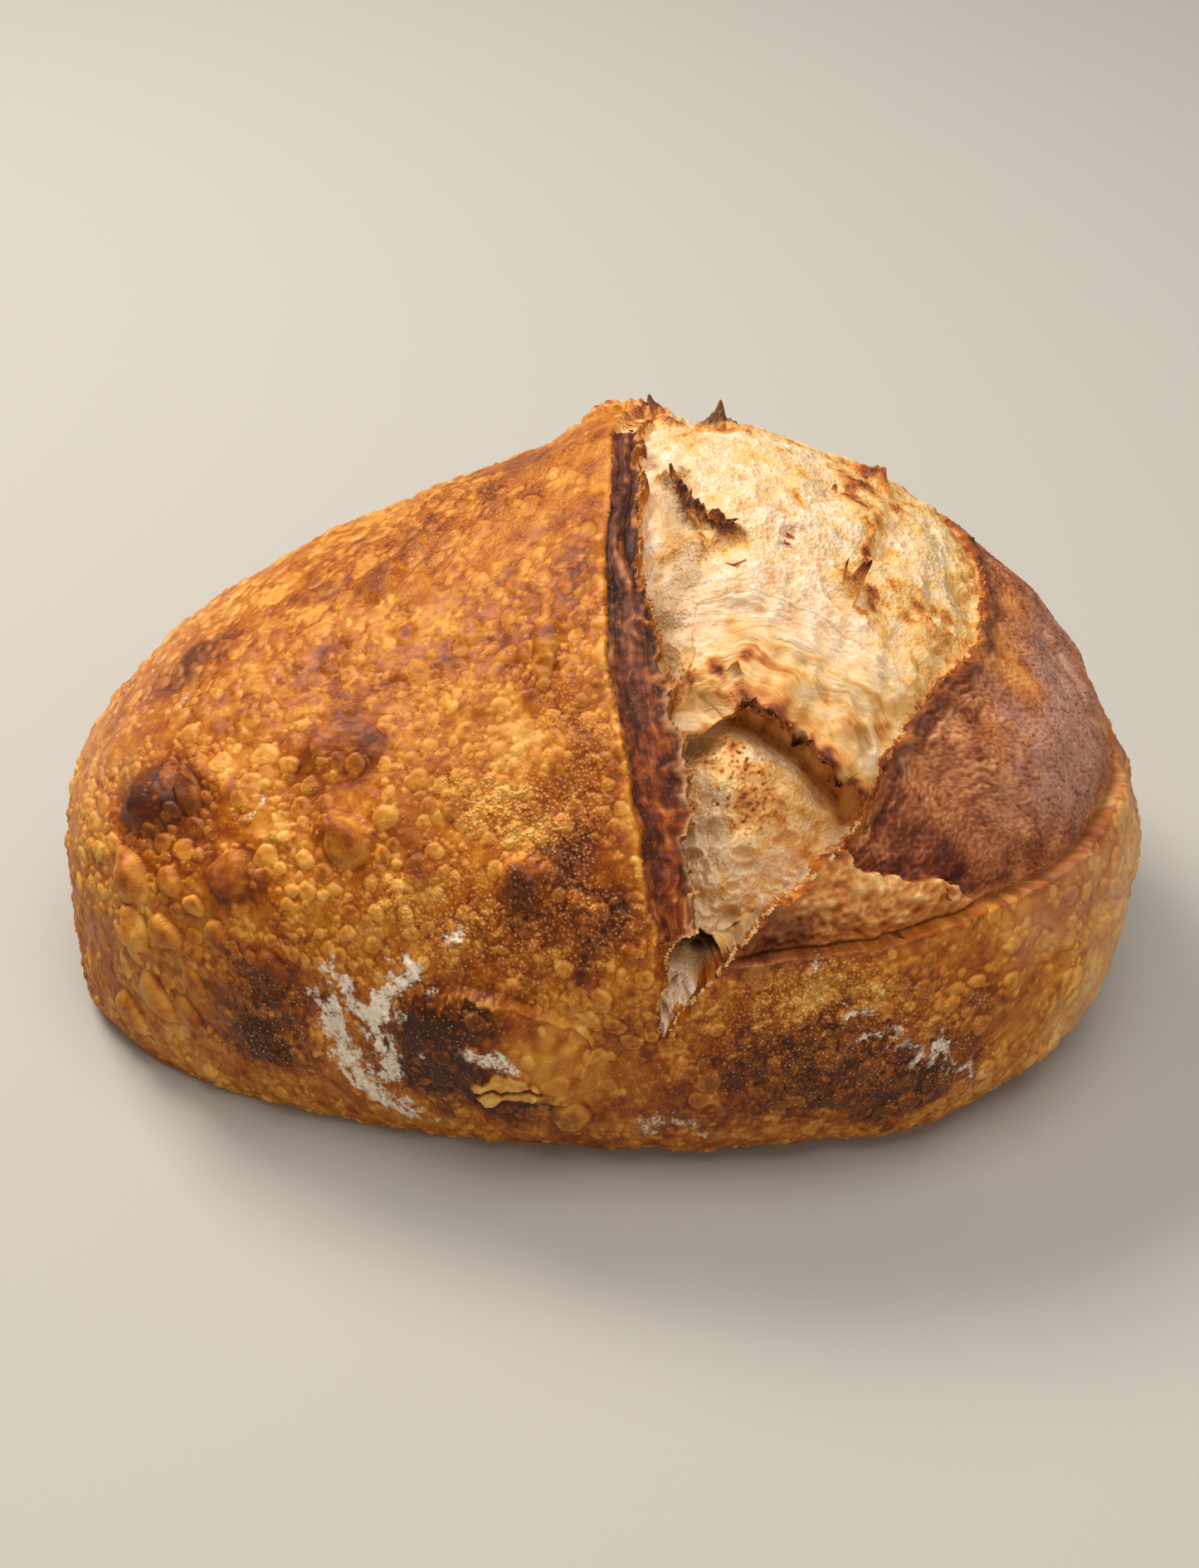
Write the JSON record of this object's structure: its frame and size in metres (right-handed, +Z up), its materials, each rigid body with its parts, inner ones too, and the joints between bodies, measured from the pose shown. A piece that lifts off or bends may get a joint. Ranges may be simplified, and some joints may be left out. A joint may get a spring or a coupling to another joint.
{
  "type": "sourdough loaf",
  "caption": "Free-standing oval sourdough loaf with a blistered brown crust, torn open along one deep cut under a raised ear of crust.",
  "frame": {"origin": "the middle of the loaf's bounding box, on the board that its flat underside rests on", "axes": "+X along the loaf's length, +Y towards its back, +Z up; the cut runs from the front (-Y) over the top to the back"},
  "size_m": [0.248, 0.1946, 0.1199],
  "materials": {
    "crust": null,
    "crumb": "torn open crumb, cream with toasted golden ridges, matte and fibrous"
  },
  "bodies": {
    "root": {"loaf": "crust"}
  },
  "joints": []
}
